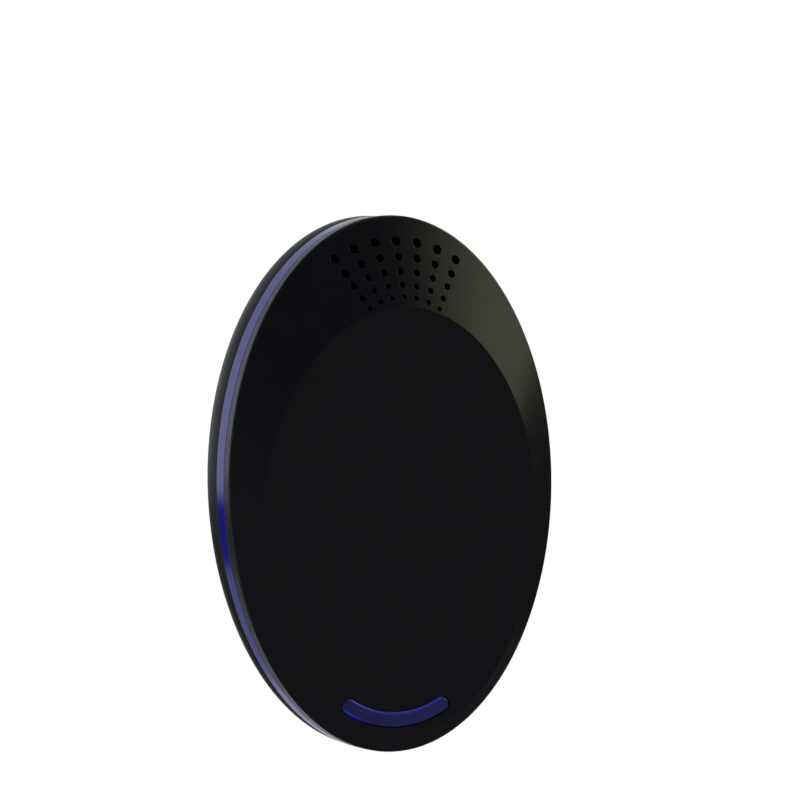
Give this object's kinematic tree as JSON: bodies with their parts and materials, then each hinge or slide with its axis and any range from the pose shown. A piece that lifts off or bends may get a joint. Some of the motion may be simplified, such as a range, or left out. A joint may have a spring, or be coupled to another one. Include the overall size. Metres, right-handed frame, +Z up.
{
  "type": "ultrasonic pest repeller",
  "caption": "Oval black plug-in ultrasonic pest repeller with a raised tilted face, a fan of sound holes, a blue light ring, a curved blue lens and a two-pin plug.",
  "frame": {"origin": "midway between the two plug pins, on the plug face that the pins leave", "axes": "+Z up along the oval case, +Y along the pins into the wall socket, -Y out of the front face into the room"},
  "size_m": [0.0704, 0.0672, 0.1102],
  "materials": {
    "shell_black": "fine textured satin black",
    "shell_rear": "fine textured satin black",
    "ring_blue": "translucent blue, smooth",
    "lens_blue": "translucent deep blue, polished",
    "plate_grey": "satin film",
    "dark_plastic": "moulded",
    "led_clear": "clear epoxy",
    "plug_black": "moulded satin",
    "pin_metal": "nickel-plated brass",
    "sleeve_black": "smooth",
    "brass_tag": "bare",
    "board_green": "solder mask",
    "film_yellow": "moulded box",
    "resistor_green": "cement coat",
    "diode_black": "moulded epoxy",
    "glass_red": "glass-like bead",
    "can_black": "sleeved can",
    "ferrite": "sintered ferrite",
    "copper_wire": "enamelled copper winding",
    "tinned_steel": "tinned",
    "resistor_tan": "lacquered",
    "ceramic_tan": "dipped",
    "cone_foil": "thin foil",
    "foam_black": "closed-cell foam",
    "mesh_black": "fine acoustic mesh",
    "screw_zinc": "zinc plated",
    "lead_brown": "PVC insulation",
    "lead_blue": "PVC insulation",
    "lead_black": "PVC insulation",
    "lead_red": "PVC insulation"
  },
  "bodies": {
    "root": {"front_shell": "shell_black", "rear_shell": "shell_rear", "light_ring": "ring_blue", "arc_lens": "lens_blue", "rating_plate": "plate_grey", "light_shroud": "dark_plastic", "lens_leds": "led_clear", "ring_leds": "led_clear", "plug_base": "plug_black", "plug_pin_left": "pin_metal", "plug_pin_right": "pin_metal", "pin_sleeve_left": "sleeve_black", "pin_sleeve_right": "sleeve_black", "terminal_tags": "brass_tag", "plug_retainer": "dark_plastic", "main_board": "board_green", "film_capacitor": "film_yellow", "fusible_resistor": "resistor_green", "rectifier_diodes": "diode_black", "zener_diode": "glass_red", "reservoir_capacitor": "can_black", "timing_capacitor": "can_black", "coil_core": "ferrite", "coil_winding": "copper_wire", "coil_base": "dark_plastic", "control_chip": "diode_black", "chip_legs": "tinned_steel", "driver_transistors": "diode_black", "resistors": "resistor_tan", "ceramic_capacitors": "ceramic_tan", "speaker_cup": "dark_plastic", "speaker_cone": "cone_foil", "piezo_disc": "brass_tag", "speaker_gasket": "foam_black", "dust_screen": "mesh_black", "speaker_strap": "dark_plastic", "case_screws": "screw_zinc", "board_screws": "screw_zinc", "speaker_screws": "screw_zinc", "plug_screws": "screw_zinc", "mains_lead_left": "lead_brown", "mains_lead_right": "lead_blue", "speaker_lead_left": "lead_black", "speaker_lead_right": "lead_red"}
  },
  "joints": []
}
